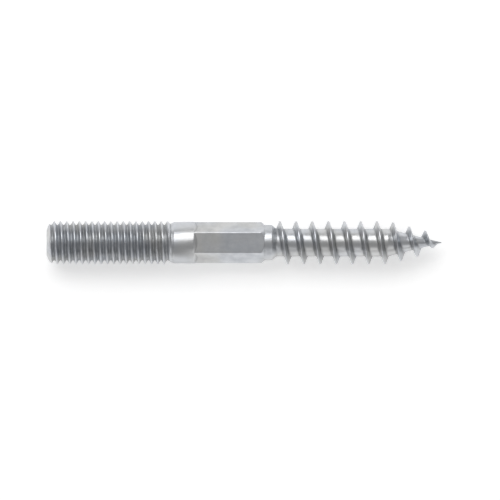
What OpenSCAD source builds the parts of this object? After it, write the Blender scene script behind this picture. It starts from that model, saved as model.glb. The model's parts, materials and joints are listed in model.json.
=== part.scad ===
/* [Machine thread] */
// Outside diameter of the metric thread
thread_d = 12; // [11:0.1:14]
// Length of the threaded end, from the tip of its dome
thread_length = 36; // [20:0.1:80]
// Radius of the domed end
dome_radius = 12; // [9:0.5:20]
// Radius that rounds the dome into the side
edge_radius = 2.3; // [1:0.1:3]

/* [Plain shank] */
// Diameter of the plain shank
shank_d = 11.6; // [10.6:0.1:12]
// Length of the plain shank, up to the corners of the hexagon
shank_length = 5.5; // [3:0.1:40]

/* [Hexagon] */
// Width of the hexagon across its flats
hexagon_width = 10; // [9:0.1:10.5]
// Length of the hexagon, with its run-out and chamfer
hexagon_length = 19.6; // [10:0.1:40]

/* [Key socket] */
// Width of the socket across its flats
socket_width = 6; // [5:0.1:6.5]
// Depth of the flats, from the tip of the dome
socket_depth = 6.4; // [4:0.1:9]
// Diameter of the drilled hole under the flats
pilot_d = 5.7; // [3:0.1:6]
// Angle of the drill's point
pilot_angle = 120; // [90:1:140]
// Diameter of the countersunk mouth, where it meets the dome
mouth_d = 7; // [6.5:0.1:8]

/* [Neck] */
// Diameter of the neck between the hexagon and the wood thread
neck_d = 9.85; // [8.7:0.05:10.5]
// Length of the straight part of the neck
neck_straight = 2.1; // [1:0.1:6]
// Length of the cone that leads from the neck to the core of the thread
neck_cone = 1.2; // [0.6:0.1:3]

/* [Wood thread] */
// Diameter over the crests
wood_d = 12; // [11:0.1:13]
// Diameter of the core
core_d = 7.7; // [6.5:0.1:8.4]
// Length of the threaded end, with its point
wood_length = 46; // [35:0.5:90]
// Distance from one crest to the next
wood_pitch = 4.5; // [3.5:0.1:6]
// Place of the first full crest, from the end of the neck
first_crest = 0.97; // [0.9:0.01:1.5]
// Width of the flat on the crest
crest_width = 0.3; // [0.2:0.05:0.6]
// Slope of each flank
flank_angle = 19; // [15:1:25]
// Length of the pointed part of the core
point_length = 14.9; // [10:0.1:20]
// Distance from the last full crest to the tip
crest_to_tip = 4.5; // [4:0.1:8]

/* [Hidden] */

// Places along the axis, from the tip of the dome
shank_start = thread_length;
hexagon_start = shank_start + shank_length;
neck_start = hexagon_start + hexagon_length;
cone_start = neck_start + neck_straight;
wood_start = cone_start + neck_cone;

thread_r = thread_d / 2;
shank_r = shank_d / 2;
neck_r = neck_d / 2;
core_r = core_d / 2;
mouth_r = mouth_d / 2;
pilot_r = pilot_d / 2;

// How far one shape runs on inside the next, and how far a cut starts outside
sink = 0.4;
overrun = 0.5;

// A row of the helix that comes this close to one of its ends is put on the end
snap = 0.2;

// The blank is thinner than the hexagon around it
inner_r = min(neck_r, hexagon_width / 2) - sink;

// The edge rounding touches the side and the dome, and both touch points follow from it
edge_r = thread_r - edge_radius;
edge_z = dome_radius - sqrt(pow(dome_radius - edge_radius, 2) - pow(edge_r, 2));
dome_r = edge_r * dome_radius / (dome_radius - edge_radius);

// Where the dome has fallen to at a distance r from the axis
function dome_z(r) = dome_radius - sqrt(pow(dome_radius, 2) - pow(r, 2));

// A circle around a hexagon touches its corners
function corner_r(width) = width / 2 / cos(30);

// The wood thread is one ridge wound around the core, in rows that follow the helix.
// Each turn has five rows: foot, crest, crest, foot and the middle of the valley.
turn_steps = 36;
rows_per_turn = 5;
thread_height = (wood_d - core_d) / 2;
foot = crest_width / 2 + thread_height * tan(flank_angle);
row_places = [-foot, -crest_width / 2, crest_width / 2, foot, wood_pitch / 2];
crest_rows = [false, true, true, false, false];

// The helix starts inside the neck. Its ridge grows to full height within a share of a turn,
// and fades out within a share of the distance from the last full crest to the tip.
helix_start = -neck_cone - neck_straight / 2;
grow_turn_share = 0.5;
fade_share = 0.75;
fade_turns = fade_share * crest_to_tip / wood_pitch;
last_crest_turn = (wood_length - crest_to_tip - first_crest) / wood_pitch;
first_turn = floor((helix_start + foot - first_crest) / wood_pitch) - 1;
last_turn = ceil((wood_length + foot - first_crest) / wood_pitch);
last_row = (last_turn - first_turn) * rows_per_turn;

function clamp(value, low, high) = min(max(value, low), high);

function ended(x) =
    x < helix_start + snap ? helix_start :
    x > wood_length - snap ? wood_length :
    x;

// Radius of the core, which tapers to the point
function core_at(x) = core_r * clamp((wood_length - x) / point_length, 0, 1);

// Height of the ridge at a number of turns after the first full crest
function ridge_at(turn) = thread_height
    * clamp(1 + turn / grow_turn_share, 0, 1)
    * clamp(1 - (turn - last_crest_turn) / fade_turns, 0, 1);

// The point of a row at one step of its turn, where the thread starts at +Y
function helix_point(row, step) =
    let (
        turn = first_turn + floor(row / rows_per_turn) + step / turn_steps,
        place = row % rows_per_turn,
        x = ended(first_crest + turn * wood_pitch + row_places[place]),
        r = core_at(x) + (crest_rows[place] ? ridge_at(turn) : 0),
        angle = 90 + 360 * step / turn_steps
    )
    [r * cos(angle), r * sin(angle), x];

// After one turn a row runs on in the row one pitch further
function row_index(row, step) =
    step < turn_steps
    ? row * turn_steps + step
    : min(row + rows_per_turn, last_row) * turn_steps;

module wood_thread() {
    polyhedron(
        points = [
            for (row = [0:last_row])
                for (step = [0:turn_steps - 1])
                    helix_point(row, step)
        ],
        faces = concat(
            [[for (step = [0:turn_steps - 1]) row_index(0, step)]],
            [
                for (row = [0:last_row - 1])
                    for (step = [0:turn_steps - 1])
                        for (half = [0, 1])
                            half == 0
                            ? [row_index(row, step), row_index(row + 1, step), row_index(row + 1, step + 1)]
                            : [row_index(row, step), row_index(row + 1, step + 1), row_index(row, step + 1)]
            ]
        )
    );
}

// Section of the domed end, from the axis outwards
module dome_outline() {
    intersection() {
        translate([0, dome_radius])
            circle(dome_radius);
        square([dome_r, edge_z + sink]);
    }
    translate([edge_r, edge_z])
        circle(edge_radius);
}

// Section of the turned blank behind the dome. Its cones run the shank out into the
// hexagon, and the neck into the core of the wood thread.
module shank_outline() {
    polygon([
        [0, edge_z],
        [thread_r, edge_z],
        [thread_r, shank_start],
        [shank_r, shank_start],
        [shank_r, hexagon_start],
        [inner_r, hexagon_start + shank_r - inner_r],
        [inner_r, neck_start - sink],
        [neck_r, neck_start - sink],
        [neck_r, cone_start],
        [core_r - sink, wood_start + sink * neck_cone / (neck_r - core_r)],
        [0, wood_start + sink * neck_cone / (neck_r - core_r)]
    ]);
}

module turned_blank() {
    rotate_extrude() {
        dome_outline();
        shank_outline();
    }
}

// The hexagon has its corners at +Y and -Y, and a cone trims its end down to the neck
module hexagon() {
    intersection() {
        translate([0, 0, hexagon_start - sink])
            rotate([0, 0, 30])
                cylinder(h = hexagon_length + 2 * sink, r = corner_r(hexagon_width), $fn = 6);
        rotate_extrude()
            polygon([
                [0, shank_start],
                [shank_r, shank_start],
                [shank_r, neck_start - shank_r + neck_r],
                [neck_r - sink, neck_start + sink],
                [0, neck_start + sink]
            ]);
    }
}

// The socket is pressed into a drilled hole and its mouth is countersunk
module key_socket() {
    mouth_h = mouth_r + dome_z(mouth_r) + overrun;
    translate([0, 0, -overrun])
        rotate([0, 0, 30])
            cylinder(h = socket_depth + overrun, r = corner_r(socket_width), $fn = 6);
    translate([0, 0, -overrun])
        cylinder(h = mouth_h, r1 = mouth_h, r2 = 0);
    rotate_extrude()
        polygon([
            [0, socket_depth - sink],
            [pilot_r, socket_depth - sink],
            [pilot_r, socket_depth],
            [0, socket_depth + pilot_r / tan(pilot_angle / 2)]
        ]);
}

// The axis lies along X with the point at +X, and the wood's surface is at X = 0
module hanger_bolt() {
    color("silver")
        rotate([0, 90, 0])
            union() {
                translate([0, 0, -wood_start])
                    difference() {
                        union() {
                            turned_blank();
                            hexagon();
                        }
                        key_socket();
                    }
                wood_thread();
            }
}

hanger_bolt();
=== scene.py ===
import json
import math

import bmesh
import bpy
import numpy as np
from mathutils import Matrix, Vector


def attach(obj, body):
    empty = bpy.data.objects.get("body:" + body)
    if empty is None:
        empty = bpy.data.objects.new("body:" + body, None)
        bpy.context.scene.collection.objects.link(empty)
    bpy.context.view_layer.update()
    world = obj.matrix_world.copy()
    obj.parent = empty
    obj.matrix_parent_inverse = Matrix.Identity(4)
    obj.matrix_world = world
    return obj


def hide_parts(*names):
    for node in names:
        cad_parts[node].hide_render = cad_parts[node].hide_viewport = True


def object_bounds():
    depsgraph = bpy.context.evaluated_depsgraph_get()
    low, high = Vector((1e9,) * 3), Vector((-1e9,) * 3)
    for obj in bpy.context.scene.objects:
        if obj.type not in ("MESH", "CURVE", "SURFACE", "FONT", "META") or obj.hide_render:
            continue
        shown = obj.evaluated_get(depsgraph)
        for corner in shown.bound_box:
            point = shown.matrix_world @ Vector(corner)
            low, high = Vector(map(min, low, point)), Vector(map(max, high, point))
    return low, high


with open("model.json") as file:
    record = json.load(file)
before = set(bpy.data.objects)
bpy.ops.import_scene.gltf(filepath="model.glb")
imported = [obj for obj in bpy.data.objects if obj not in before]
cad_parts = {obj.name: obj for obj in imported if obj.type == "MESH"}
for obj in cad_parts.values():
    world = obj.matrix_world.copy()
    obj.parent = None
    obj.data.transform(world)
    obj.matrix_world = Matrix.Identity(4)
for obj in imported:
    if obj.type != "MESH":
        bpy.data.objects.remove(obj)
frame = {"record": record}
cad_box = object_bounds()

mm = 0.001

# The bare steel gets a thin coat of bright zinc with a clear passivation, faintly blue with a
# warm tinge in places. The coat is cloudy, carries fine marks from the dies, and is rubbed bright
# on crests by the other bolts in the barrel. Its roots and inner corners are darkened: partly a
# dull film where the rinse dries, partly painted shade in the hollows.
coat_colours = {
    "Bright zinc": (0.62, 0.635, 0.66, 1),
    "Clouded zinc": (0.44, 0.46, 0.49, 1),
    "Warm tinge": (0.62, 0.585, 0.51, 1),
    # The root colour is partly a dull film and partly painted shade that darkens the roots and inner
    # corners
    "Root film and shade": (0.26, 0.27, 0.28, 1),
}
cloud_size = 5 * mm
patch_size = 1.6 * mm
tinge_size = 9 * mm
swell_size = 4 * mm
grain_size = 0.14 * mm
nick_spacing = 1.2 * mm
nick_bend_size = 0.7 * mm
nick_bend = 1.1 * mm
height_unit = 0.01 * mm


def add_node(tree, kind, inputs, **settings):
    """Adds a node, sets or links its inputs by name or number, and gives its outputs"""
    node = tree.nodes.new(kind)
    for name, value in settings.items():
        setattr(node, name, value)
    for name, value in inputs.items():
        if isinstance(value, bpy.types.NodeSocket):
            tree.links.new(value, node.inputs[name])
        else:
            node.inputs[name].default_value = value
    return node.outputs


def work_out(tree, operation, *values):
    """Adds one step of arithmetic to a node tree and gives its result"""
    return add_node(tree, "ShaderNodeMath", dict(enumerate(values)), operation=operation)[0]


def add_sockets(tree, direction, kind, names):
    """Gives a node group its named inputs or outputs of one kind"""
    for name in names:
        tree.interface.new_socket(name, in_out=direction, socket_type="NodeSocket" + kind)


def speckle(tree, place, size, detail=2.0, low=0.3, high=0.7):
    """Gives soft noise from 0 to 1, with spots of about one size"""
    noise = add_node(tree, "ShaderNodeTexNoise", {"Vector": place, "Scale": 1 / size, "Detail": detail})
    spread = {"Value": noise[0], "From Min": low, "From Max": high}
    return add_node(tree, "ShaderNodeMapRange", spread, interpolation_type="SMOOTHSTEP")[0]


def nick_spots(tree, place):
    """Gives small ragged spots from 0 to 1, in one cell of four"""
    ragged = add_node(tree, "ShaderNodeTexNoise", {"Vector": place, "Scale": 1 / nick_bend_size})["Color"]
    warp = {0: ragged, 1: (nick_bend, nick_bend, nick_bend), 2: place}
    warped = add_node(tree, "ShaderNodeVectorMath", warp, operation="MULTIPLY_ADD")[0]
    cells = add_node(tree, "ShaderNodeTexVoronoi", {"Vector": warped, "Scale": 1 / nick_spacing})
    chance = add_node(tree, "ShaderNodeSeparateColor", {0: cells["Color"]})["Red"]
    empty_share = 0.75
    growth = 0.8
    soft_edge = 0.1
    reach = work_out(tree, "MULTIPLY", work_out(tree, "SUBTRACT", chance, empty_share), growth)
    spot = {"Value": work_out(tree, "SUBTRACT", reach, cells["Distance"]), "From Max": soft_edge}
    return add_node(tree, "ShaderNodeMapRange", spot, interpolation_type="SMOOTHSTEP")[0]


def mix_colour(tree, share, first, second):
    """Mixes two colours, which are the inputs 6 and 7 of the node"""
    return add_node(tree, "ShaderNodeMix", {0: share, 6: first, 7: second}, data_type="RGBA")[2]


def zinc_coat_group():
    """Builds the node group for the look of a zinc coat, which takes a place and a relief"""
    tree = bpy.data.node_groups.new("zinc_coat", "ShaderNodeTree")
    add_sockets(tree, "INPUT", "Vector", ["Place", "Mark spacing"])
    add_sockets(tree, "INPUT", "Float", ["Relief", "Mark depth", "Base roughness"])
    add_sockets(tree, "INPUT", "Color", coat_colours)
    add_sockets(tree, "OUTPUT", "Color", ["Color"])
    add_sockets(tree, "OUTPUT", "Float", ["Roughness", "Height"])
    group = tree.nodes.new("NodeGroupInput").outputs
    place = group["Place"]

    clouds = speckle(tree, place, cloud_size, detail=3.0)
    patches = speckle(tree, place, patch_size, detail=3.0)
    tinge = speckle(tree, place, tinge_size, detail=1.0, low=0.4, high=0.65)
    swell = speckle(tree, place, swell_size, detail=0.0)
    grain = speckle(tree, place, grain_size)
    nicks = nick_spots(tree, place)
    spaced = {0: place, 1: group["Mark spacing"]}
    stretched = add_node(tree, "ShaderNodeVectorMath", spaced, operation="DIVIDE")[0]
    marks = speckle(tree, stretched, 1.0)
    root = work_out(tree, "MULTIPLY", work_out(tree, "MINIMUM", group["Relief"], 0.0), -1.0)
    edge = work_out(tree, "MAXIMUM", group["Relief"], 0.0)

    # Patches break up the clouds, and the film and painted shade in the roots
    patch_share = 0.35
    tinge_share = 0.3
    rubbed_share = 0.6
    cloudy = work_out(tree, "MULTIPLY", clouds, 1 - patch_share)
    cloudy = work_out(tree, "MULTIPLY_ADD", patches, patch_share, cloudy)
    # Concave places turn towards the root colour: a dull film and painted shade in the hollows
    film_and_shade = work_out(tree, "MULTIPLY_ADD", patches, patch_share, 1 - patch_share)
    film_and_shade = work_out(tree, "MULTIPLY", root, film_and_shade)
    tinged = work_out(tree, "MULTIPLY", tinge, tinge_share)
    rubbed = work_out(tree, "MULTIPLY", edge, rubbed_share)
    colour = mix_colour(tree, cloudy, group["Bright zinc"], group["Clouded zinc"])
    colour = mix_colour(tree, tinged, colour, group["Warm tinge"])
    colour = mix_colour(tree, rubbed, colour, group["Bright zinc"])
    colour = mix_colour(tree, film_and_shade, colour, group["Root film and shade"])

    rough = group["Base roughness"]
    for cause, gain in ((cloudy, 0.10), (marks, 0.05), (film_and_shade, 0.22), (edge, -0.06)):
        rough = work_out(tree, "MULTIPLY_ADD", cause, gain, rough)
    height = work_out(tree, "MULTIPLY", marks, group["Mark depth"])
    for cause, rise in ((grain, 0.12), (swell, 1.6), (nicks, -1.5)):
        height = work_out(tree, "MULTIPLY_ADD", cause, rise, height)
    add_node(tree, "NodeGroupOutput", {"Color": colour, "Roughness": rough, "Height": height})
    return tree


zinc_coat = zinc_coat_group()


def zinc_finish(name, mark_spacing, mark_depth, roughness):
    """Makes a zinc-coated material; the spacing is large along the marks and small across them"""
    material = bpy.data.materials.new(name)
    material.use_nodes = True
    tree = material.node_tree
    coat_inputs = {
        "Place": tree.nodes.new("ShaderNodeTexCoord").outputs["Object"],
        "Relief": add_node(tree, "ShaderNodeAttribute", {}, attribute_name="relief")["Fac"],
        "Mark spacing": mark_spacing,
        "Mark depth": mark_depth,
        "Base roughness": roughness,
        **coat_colours,
    }
    look = add_node(tree, "ShaderNodeGroup", coat_inputs, node_tree=zinc_coat)
    bumps = add_node(tree, "ShaderNodeBump", {"Height": look["Height"], "Distance": height_unit})
    steel = tree.nodes["Principled BSDF"]
    steel.inputs["Metallic"].default_value = 1.0
    tree.links.new(look["Color"], steel.inputs["Base Color"])
    tree.links.new(look["Roughness"], steel.inputs["Roughness"])
    tree.links.new(bumps["Normal"], steel.inputs["Normal"])
    return material


# Drawing leaves marks along the bolt, rolling leaves them round it, and pressing leaves spots
drawn_zinc = zinc_finish(
    "drawn_zinc", mark_spacing=(6 * mm, 0.16 * mm, 0.16 * mm), mark_depth=0.3, roughness=0.32
)
pressed_zinc = zinc_finish(
    "pressed_zinc", mark_spacing=(0.3 * mm, 0.3 * mm, 0.3 * mm), mark_depth=0.2, roughness=0.34
)
rolled_zinc = zinc_finish(
    "rolled_zinc", mark_spacing=(0.12 * mm, 4 * mm, 4 * mm), mark_depth=0.3, roughness=0.29
)

# The blank: a length of drawn wire, cold-formed in one piece. Its end is domed, a hexagon
# socket is pressed into the dome, and six flats are pressed on the shank for a spanner.
# Distances run along X from where the neck meets the wood thread, as in the frame.
mounts = {mount["name"]: mount for mount in frame["record"]["mounts"]}


def mount_size(name, size):
    """Gives a size of a mount in metres"""
    return mounts[name]["dims"][size + "_mm"] * mm


def mount_span(name):
    """Gives where a mount starts and ends along the axis"""
    middle = mounts[name]["pos_m"][0]
    half = mount_size(name, "length") / 2
    return middle - half, middle + half


# Columns of points around the bolt crowd towards the six corners, where the flats turn
columns = 96
per_flat = columns // 6
crowding = 0.85
flat_turn = math.radians(60)
flats_turned = np.arange(columns) / per_flat
crowd = crowding * np.sin(2 * math.pi * flats_turned) / (2 * math.pi)
around = flat_turn * (flats_turned - crowd)


def hexagon_r(flat_r, corner_radius):
    """Gives the radius of a hexagon with rounded corners, at each point around the axis"""
    half_turn = flat_turn / 2
    off_corner = np.abs((around + half_turn) % flat_turn - half_turn)
    centre_r = (flat_r - corner_radius) / math.cos(half_turn)
    flat = flat_r / np.cos(half_turn - off_corner)
    reach = np.sqrt(np.maximum(corner_radius**2 - (centre_r * np.sin(off_corner)) ** 2, 0))
    corner = centre_r * np.cos(off_corner) + reach
    touch = half_turn - math.atan((flat_r - corner_radius) * math.tan(half_turn) / flat_r)
    return np.where(off_corner < touch, corner, flat)


def ring(x, r):
    """Gives the points of one ring as (x, r) pairs, from numbers or from arrays"""
    return np.stack([np.broadcast_to(x, (columns,)), np.broadcast_to(r, (columns,))], axis=1)


def eased(rings, softness, steps=4):
    """Rounds the edge at each inner ring, and adds a ring on each side that keeps faces flat"""
    most_share = 0.2
    points = [rings[0]]
    for before, here, after, soft in zip(rings, rings[1:], rings[2:], softness):
        back, ahead = before - here, after - here
        back_length = np.linalg.norm(back, axis=1, keepdims=True)
        ahead_length = np.linalg.norm(ahead, axis=1, keepdims=True)
        reach = np.minimum(soft, most_share * np.minimum(back_length, ahead_length))
        start = here + back / back_length * reach
        end = here + ahead / ahead_length * reach
        points.append(start + (start - here))
        for t in np.linspace(0, 1, steps + 1):
            points.append((1 - t) ** 2 * start + 2 * t * (1 - t) * here + t**2 * end)
        points.append(end + (end - here))
    points.append(rings[-1])
    return points


def skin(name, rings):
    """Makes a mesh of the rings, with four-sided faces between them"""
    x, r = np.stack(rings)[..., 0], np.stack(rings)[..., 1]
    points = np.stack([x, r * np.cos(around), r * np.sin(around)], axis=2).reshape(-1, 3)
    faces = []
    for row in range(len(rings) - 1):
        for step in range(columns):
            here, after = row * columns + step, row * columns + (step + 1) % columns
            faces.append((here, after, after + columns, here + columns))
    mesh = bpy.data.meshes.new(name)
    mesh.from_pydata(points.tolist(), [], faces)
    return mesh


# The dome and the rounded edge that leads it into the thread
thread_r = mount_size("machine_thread", "r")
thread_length = 36 * mm
minor_r = 4.9265 * mm
dome_radius = 12 * mm
edge_radius = 2.3 * mm
mouth_r = 3.5 * mm
dome_rings = 9
edge_rings = 4
thread_end = mount_span("machine_thread")[1]
dome_x = thread_end - thread_length
dome_centre_x = dome_x + dome_radius
edge_centre_r = thread_r - edge_radius
edge_centre_x = dome_centre_x - math.sqrt((dome_radius - edge_radius) ** 2 - edge_centre_r**2)
dome_r = edge_centre_r * dome_radius / (dome_radius - edge_radius)
thread_start = edge_centre_x - math.sqrt(edge_radius**2 - (minor_r - edge_centre_r) ** 2)


def dome_at(r):
    """Gives the place along the axis of the dome's surface"""
    return dome_centre_x - math.sqrt(dome_radius**2 - r**2)


def edge_at(x):
    """Gives the radius of the rounding between the dome and the thread"""
    return edge_centre_r + math.sqrt(edge_radius**2 - (x - edge_centre_x) ** 2)


dome_skin = skin(
    "dome",
    [ring(dome_at(r), r) for r in np.linspace(mouth_r, dome_r, dome_rings)]
    + [ring(x, edge_at(x)) for x in np.linspace(dome_at(dome_r), thread_start, edge_rings)[1:]],
)

# The socket, from the point of its drilled hole out to its countersunk mouth
socket_depth = 6.4 * mm
socket_corner_radius = 0.15 * mm
pilot_r = 2.85 * mm
pilot_angle = 120
socket_r = hexagon_r(mount_size("key_socket", "r"), socket_corner_radius)
socket_floor = dome_x + socket_depth
pilot_tip = socket_floor + pilot_r / math.tan(math.radians(pilot_angle / 2))
socket_skin = skin(
    "key_socket",
    eased(
        [
            ring(pilot_tip, 0),
            ring(socket_floor, pilot_r),
            ring(socket_floor, socket_r),
            ring(dome_at(mouth_r) + mouth_r - socket_r, socket_r),
            ring(dome_at(mouth_r), mouth_r),
        ],
        softness=[0.05 * mm, 0.2 * mm, 0.15 * mm],
    ),
)

# The plain shank, the spanner's hexagon, the neck, and its cone up to where the rolling starts
shank_r = 5.8 * mm
neck_r = 4.925 * mm
core_r = 3.85 * mm
neck_cone = 1.2 * mm
plain_cone = 0.3 * mm
spanner_corner_radius = 0.35 * mm
hexagon_start, neck_start = mount_span("drive_hexagon")
flats_r = hexagon_r(mount_size("drive_hexagon", "r"), spanner_corner_radius)
cone_start = -neck_cone
cone_slope = (neck_r - core_r) / neck_cone
rolled_start = cone_start + plain_cone
rolled_start_r = neck_r - cone_slope * plain_cone
shank_skin = skin(
    "shank_and_hexagon",
    eased(
        [
            ring(thread_end, shank_r),
            ring(hexagon_start, shank_r),
            ring(hexagon_start + shank_r - flats_r, flats_r),
            ring(neck_start - flats_r + neck_r, flats_r),
            ring(neck_start, neck_r),
            ring(cone_start, neck_r),
            ring(rolled_start, rolled_start_r),
        ],
        softness=[0.25 * mm, 0.25 * mm, 0.15 * mm, 0.3 * mm, 0.2 * mm],
    ),
)


# The threads: the blank is rolled between flat dies, which press a helical groove and let the
# steel rise into the crests. The outline of a single turn is wound round the axis, cut at both
# ends, and its ridge grows and runs out. Both threads are right-handed.
def thread_tree():
    """Builds the node tree that winds the outline of one turn into a thread"""
    place_sizes = ["Pitch", "First crest", "Start", "End"]
    ridge_sizes = ["Grow start", "Grow length", "Fade end", "Fade length"]
    core_sizes = ["Core radius", "End radius", "End length", "Cone radius", "Cone slope", "Cone blend"]
    rim_sizes = ["Rim radius", "Rim blend", "Rounding radius", "Rounding start"]
    tree = bpy.data.node_groups.new("rolled_thread", "GeometryNodeTree")
    add_sockets(tree, "INPUT", "Geometry", ["Outline"])
    add_sockets(tree, "INPUT", "Int", ["Rows", "Rows in a turn", "First turn"])
    add_sockets(tree, "INPUT", "Float", place_sizes + ridge_sizes + core_sizes + rim_sizes)
    add_sockets(tree, "INPUT", "Material", ["Finish"])
    add_sockets(tree, "OUTPUT", "Geometry", ["Thread"])
    group = tree.nodes.new("NodeGroupInput").outputs

    def sum_of(*values):
        return work_out(tree, "ADD", *values)

    def difference(*values):
        return work_out(tree, "SUBTRACT", *values)

    def product(*values):
        return work_out(tree, "MULTIPLY", *values)

    def smaller(*values):
        return work_out(tree, "MINIMUM", *values)

    def larger(*values):
        return work_out(tree, "MAXIMUM", *values)

    def whole(value, length):
        return work_out(tree, "FLOOR", work_out(tree, "DIVIDE", value, length))

    def share_along(value, low, length):
        share = work_out(tree, "DIVIDE", difference(value, low), length)
        return smaller(larger(share, 0.0), 1.0)

    # One column more than there are steps, so that the two sides of the grid meet a pitch apart.
    # The half that is added before a number is cut down to a whole one keeps it exact.
    sides = columns + 1
    grid = add_node(tree, "GeometryNodeMeshGrid", {"Vertices X": group["Rows"], "Vertices Y": sides})
    index = tree.nodes.new("GeometryNodeInputIndex").outputs[0]
    row = whole(sum_of(index, 0.5), float(sides))
    flat = work_out(tree, "DIVIDE", difference(index, product(row, float(sides))), float(per_flat))
    crowd = product(work_out(tree, "SINE", product(flat, 2 * math.pi)), crowding / (2 * math.pi))
    angle = product(difference(flat, crowd), flat_turn)

    # Each row takes its point from the outline of one turn
    turn = whole(sum_of(row, 0.5), group["Rows in a turn"])
    place = difference(row, product(turn, group["Rows in a turn"]))
    position = tree.nodes.new("GeometryNodeInputPosition").outputs[0]
    picked = {"Geometry": group["Outline"], "Value": position, "Index": place}
    outline = add_node(tree, "GeometryNodeSampleIndex", picked, data_type="FLOAT_VECTOR")[0]
    outline = add_node(tree, "ShaderNodeSeparateXYZ", {0: outline})
    turns = sum_of(turn, sum_of(group["First turn"], work_out(tree, "DIVIDE", angle, 2 * math.pi)))
    crest = sum_of(product(turns, group["Pitch"]), group["First crest"])
    x = smaller(larger(sum_of(crest, outline["X"]), group["Start"]), group["End"])

    # The core changes to its end radius, and the ridge on it grows and fades
    end_start = difference(group["End"], group["End length"])
    tapered = share_along(x, end_start, group["End length"])
    change = product(tapered, difference(group["End radius"], group["Core radius"]))
    grown = share_along(crest, group["Grow start"], group["Grow length"])
    left = share_along(difference(group["Fade end"], crest), 0.0, group["Fade length"])
    height = product(outline["Y"], product(grown, left))
    ridge = sum_of(sum_of(group["Core radius"], change), height)

    # A cone at the start runs softly into the ridge
    fall = product(difference(x, group["Start"]), group["Cone slope"])
    cone = difference(group["Cone radius"], fall)
    covered = work_out(tree, "SMOOTH_MAX", ridge, cone, group["Cone blend"])

    # A rounded edge cuts the ridge. Past the end of its rounding it moves out of the way.
    outside = larger(difference(group["Rounding start"], x), 0.0)
    rounding = group["Rounding radius"]
    room = difference(product(rounding, rounding), product(outside, outside))
    past = larger(difference(x, group["Rounding start"]), 0.0)
    edge = sum_of(sum_of(group["Rim radius"], work_out(tree, "SQRT", larger(room, 0.0))), past)
    softness = product(share_along(x, group["Start"], group["Rim blend"]), group["Rim blend"])
    r = work_out(tree, "SMOOTH_MIN", edge, covered, softness)

    across = product(r, work_out(tree, "COSINE", angle))
    up = product(r, work_out(tree, "SINE", angle))
    point = add_node(tree, "ShaderNodeCombineXYZ", {"X": x, "Y": across, "Z": up})[0]
    wound = add_node(tree, "GeometryNodeSetPosition", {"Geometry": grid["Mesh"], "Position": point})[0]
    real = add_node(tree, "GeometryNodeRealizeInstances", {0: wound})[0]
    finished = add_node(tree, "GeometryNodeSetMaterial", {"Geometry": real, "Material": group["Finish"]})[0]
    add_node(tree, "NodeGroupOutput", {0: finished})
    return tree


rolled_thread = thread_tree()


def bend(x, r, radius, start, end, count):
    """Gives the points of a rounded corner round its centre, with angles from straight out"""
    angles = np.radians(np.linspace(start, end, count))
    return [(x + radius * math.sin(angle), r + radius * math.cos(angle)) for angle in angles]


def straight(start, end, steps):
    """Gives the points between two points, without the two themselves"""
    return np.linspace(start, end, steps + 1)[1:-1].tolist()


def whole_turn(flank):
    """Gives the outline of one turn from the flank that falls from its crest"""
    return [(-along, height) for along, height in reversed(flank)] + flank[:-1]


def wind_thread(name, outline, sizes):
    """Winds one turn's outline into a thread and gives the mesh; sizes left out are zero"""
    line = bpy.data.meshes.new(name + "_outline")
    line.from_pydata([(along, height, 0) for along, height in outline], [], [])
    holder = bpy.data.objects.new(name, line)
    bpy.context.scene.collection.objects.link(holder)
    rolling = holder.modifiers.new("rolling", "NODES")
    rolling.node_group = rolled_thread
    reach = max(along for along, height in outline)
    first_turn = math.floor((sizes["Start"] - sizes["First crest"] - reach) / sizes["Pitch"]) - 1
    last_turn = math.ceil((sizes["End"] - sizes["First crest"] + reach) / sizes["Pitch"])
    values = {
        **sizes,
        "Rows": (last_turn - first_turn) * len(outline) + 1,
        "Rows in a turn": len(outline),
        "First turn": first_turn,
        "Finish": rolled_zinc,
    }
    for item in rolled_thread.interface.items_tree:
        if item.name in values:
            rolling[item.identifier] = values[item.name]
    ready = holder.evaluated_get(bpy.context.evaluated_depsgraph_get())
    mesh = bpy.data.meshes.new_from_object(ready)
    bpy.data.objects.remove(holder)
    return mesh


# The machine thread has flanks at 60 degrees, and fades out on the shank
crest_points = 3
root_points = 4
flank_steps = 4
metric_pitch = 1.75 * mm
metric_crest_width = metric_pitch / 8
metric_crest_radius = 0.08 * mm
metric_root_radius = metric_pitch * math.sqrt(3) / 12
metric_lean = 60
metric_run_out = metric_pitch / 2
metric_height = thread_r - minor_r
flat_half = metric_crest_width / 2 - metric_crest_radius * math.tan(math.radians(metric_lean / 2))
crest_middle_r = metric_height - metric_crest_radius
metric_crest = bend(flat_half, crest_middle_r, metric_crest_radius, 0, metric_lean, crest_points)
valley_x = metric_pitch / 2
root_lean = 180 + metric_lean
metric_root = bend(valley_x, metric_root_radius, metric_root_radius, root_lean, 180, root_points)
metric_flank = metric_crest + straight(metric_crest[-1], metric_root[0], flank_steps) + metric_root
metric_skin = wind_thread(
    "machine_thread",
    whole_turn(metric_flank),
    {
        "Pitch": metric_pitch,
        "First crest": dome_x + metric_pitch / 2,
        "Start": thread_start,
        "End": thread_end,
        "Core radius": minor_r,
        "End radius": shank_r,
        "End length": metric_pitch,
        "Grow start": thread_start - 2 * metric_pitch,
        "Grow length": metric_pitch,
        "Fade end": thread_end - metric_run_out,
        "Fade length": metric_run_out,
        "Rim radius": edge_centre_r,
        "Rim blend": 0.1 * mm,
        "Rounding radius": edge_radius,
        "Rounding start": edge_centre_x,
    },
)

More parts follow.
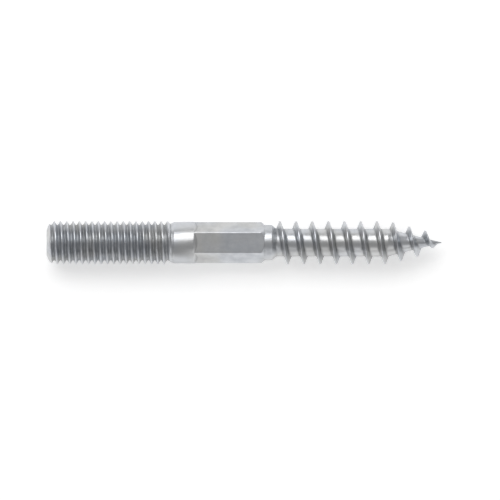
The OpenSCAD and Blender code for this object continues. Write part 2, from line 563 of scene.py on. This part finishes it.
# The wood thread has thin ridges on a slim core, which tapers to a gimlet point. No rim cuts
# it, and the dies leave its very tip slightly round.
wood_r = mount_size("wood_thread", "r")
wood_end = mount_size("wood_thread", "length")
wood_pitch = 4.5 * mm
first_crest = 0.97 * mm
crest_to_tip = 4.5 * mm
fade_share = 0.75
fade_length = fade_share * crest_to_tip
point_length = 14.9 * mm
tip_radius = 0.12 * mm
tip_rings = 5
foot_points = 5
valley_steps = 5
wood_crest_width = 0.3 * mm
wood_crest_radius = 0.1 * mm
foot_radius = 0.5 * mm
flank_angle = 19
wood_lean = 90 - flank_angle
wood_height = wood_r - core_r
tip_start = wood_end - tip_radius
bend_share = math.tan(math.radians(wood_lean / 2))
crest_x = wood_crest_width / 2 - wood_crest_radius * bend_share
foot_half = wood_crest_width / 2 + wood_height * math.tan(math.radians(flank_angle))
foot_x = foot_half + foot_radius * bend_share
crest_middle_r = wood_height - wood_crest_radius
wood_crest = bend(crest_x, crest_middle_r, wood_crest_radius, 0, wood_lean, crest_points)
wood_foot = bend(foot_x, foot_radius, foot_radius, 180 + wood_lean, 180, foot_points)
valley_middle = (wood_pitch / 2, 0)
wood_flank = wood_crest + straight(wood_crest[-1], wood_foot[0], flank_steps)
wood_flank += wood_foot + straight(wood_foot[-1], valley_middle, valley_steps) + [valley_middle]
wood_skin = wind_thread(
    "wood_thread",
    whole_turn(wood_flank),
    {
        "Pitch": wood_pitch,
        "First crest": first_crest,
        "Start": rolled_start,
        "End": tip_start,
        "Core radius": core_r,
        "End radius": tip_radius,
        "End length": point_length - tip_radius,
        "Grow start": first_crest - wood_pitch / 2,
        "Grow length": wood_pitch / 2,
        "Fade end": wood_end - crest_to_tip + fade_length,
        "Fade length": fade_length,
        "Cone radius": rolled_start_r,
        "Cone slope": cone_slope,
        "Cone blend": 0.25 * mm,
        "Rim radius": wood_r,
    },
)
tip_angles = np.radians(np.linspace(0, 90, tip_rings))
tip_skin = skin(
    "tip",
    [ring(tip_start + tip_radius * math.sin(angle), tip_radius * math.cos(angle)) for angle in tip_angles],
)

# The finished bolt is one piece of steel. Its surfaces are joined into one closed skin, which
# also stores its relief: how sharply each point stands out, or lies in a corner.
weld_distance = 0.0002 * mm
sharp_turn = math.radians(35)
full_relief_turn = 0.7
relief_passes = 2
finishes = [pressed_zinc, drawn_zinc, rolled_zinc]
form = bmesh.new()
for part, finish in (
    (socket_skin, pressed_zinc),
    (dome_skin, pressed_zinc),
    (metric_skin, rolled_zinc),
    (shank_skin, drawn_zinc),
    (wood_skin, rolled_zinc),
    (tip_skin, rolled_zinc),
):
    done = len(form.faces)
    form.from_mesh(part)
    form.faces.ensure_lookup_table()
    for face in form.faces[done:]:
        face.material_index = finishes.index(finish)
bmesh.ops.remove_doubles(form, verts=form.verts, dist=weld_distance)
bmesh.ops.dissolve_degenerate(form, edges=form.edges, dist=weld_distance)
bmesh.ops.recalc_face_normals(form, faces=form.faces)
for face in form.faces:
    face.smooth = True
for edge in form.edges:
    edge.smooth = edge.calc_face_angle(0) < sharp_turn

form.verts.index_update()
relief = np.zeros(len(form.verts))
for edge in form.edges:
    turned = edge.calc_face_angle_signed(0)
    for corner in edge.verts:
        relief[corner.index] += turned
relief = np.clip(relief / full_relief_turn, -1, 1)
ends = np.array([[corner.index for corner in edge.verts] for edge in form.edges])
for _ in range(relief_passes):
    total, count = relief.copy(), np.ones(len(relief))
    np.add.at(total, ends, relief[ends[:, ::-1]])
    np.add.at(count, ends, 1)
    relief = total / count

mesh = bpy.data.meshes.new("hanger_bolt_body")
form.to_mesh(mesh)
form.free()
mesh.attributes.new("relief", "FLOAT", "POINT").data.foreach_set("value", relief)
for finish in finishes:
    mesh.materials.append(finish)
body = bpy.data.objects.new("hanger_bolt_body", mesh)
bpy.context.scene.collection.objects.link(body)
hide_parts("hanger_bolt")
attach(body, "root")

# The floor is a sheet of white paper. It keeps the bolt's shadow, and what the camera and
# shiny surfaces see of it is lifted to plain white.
floor_z = cad_box[0][2]
floor_half = 1.5
floor_lift = 0.4
corners = [(-1, -1), (1, -1), (1, 1), (-1, 1)]
floor_mesh = bpy.data.meshes.new("paper_floor")
floor_points = [(x * floor_half, y * floor_half, floor_z) for x, y in corners]
floor_mesh.from_pydata(floor_points, [], [(0, 1, 2, 3)])
paper = bpy.data.materials.new("white_paper")
paper.use_nodes = True
paper_look = paper.node_tree.nodes["Principled BSDF"]
paper_look.inputs["Base Color"].default_value = (0.9, 0.9, 0.9, 1)
paper_look.inputs["Roughness"].default_value = 0.9
paper_look.inputs["Emission Color"].default_value = (1, 1, 1, 1)
ray = paper.node_tree.nodes.new("ShaderNodeLightPath").outputs
seen = work_out(paper.node_tree, "MAXIMUM", ray["Is Camera Ray"], ray["Is Glossy Ray"])
seen = work_out(paper.node_tree, "MAXIMUM", seen, ray["Is Transmission Ray"])
lift = work_out(paper.node_tree, "MULTIPLY", seen, floor_lift)
paper.node_tree.links.new(lift, paper_look.inputs["Emission Strength"])
floor_mesh.materials.append(paper)
floor = bpy.data.objects.new("paper_floor", floor_mesh)
bpy.context.scene.collection.objects.link(floor)

# The room is softly grey overhead, with a white band round the horizon that shapes the metal.
# The band is high beside the bolt and low beyond its ends.
overhead_grey = 0.35
beside_band = 0.42
beyond_band = 0.08
room = bpy.data.worlds.new("white_room")
bpy.context.scene.world = room
room.use_nodes = True
direction = room.node_tree.nodes.new("ShaderNodeTexCoord").outputs["Generated"]
toward = add_node(room.node_tree, "ShaderNodeSeparateXYZ", {0: direction})
beyond_ends = work_out(room.node_tree, "ABSOLUTE", toward["X"])
band_top = work_out(room.node_tree, "MULTIPLY_ADD", beyond_ends, beyond_band - beside_band, beside_band)
fade = {"Value": toward["Z"], "From Max": band_top, "To Min": 1.0, "To Max": overhead_grey}
level = add_node(room.node_tree, "ShaderNodeMapRange", fade, interpolation_type="SMOOTHSTEP")[0]
room.node_tree.links.new(level, room.node_tree.nodes["Background"].inputs["Color"])


def add_lamp(name, place, width, depth, watts):
    """Adds a soft box that faces the bolt"""
    light = bpy.data.lights.new(name, "AREA")
    light.shape = "RECTANGLE"
    light.size = width
    light.size_y = depth
    light.energy = watts
    lamp = bpy.data.objects.new(name, light)
    bpy.context.scene.collection.objects.link(lamp)
    lamp.location = place
    lamp.rotation_euler = (-Vector(place)).to_track_quat("-Z", "Y").to_euler()


add_lamp("key_light", place=(-0.25, 0.55, 0.75), width=1.2, depth=0.6, watts=5.5)
add_lamp("fill_light", place=(0.3, -0.65, 0.5), width=0.9, depth=0.4, watts=0.8)

# The camera looks straight down on the bolt, as the drawing does on its side view. The bolt's
# tip and its axis fall on the same pixels as there.
pixel = 0.27813 * mm
image_width = 500
image_middle = 249.5
tip_pixel = 441.2
axis_pixel = 242.1
camera_height = 0.3
camera = bpy.data.cameras.new("camera")
camera.type = "ORTHO"
camera.ortho_scale = image_width * pixel
camera_mount = bpy.data.objects.new("camera", camera)
bpy.context.scene.collection.objects.link(camera_mount)
camera_x = wood_end - (tip_pixel - image_middle) * pixel
camera_y = (axis_pixel - image_middle) * pixel
camera_mount.location = (camera_x, camera_y, camera_height)
bpy.context.scene.camera = camera_mount
bpy.context.scene.view_settings.view_transform = "Standard"
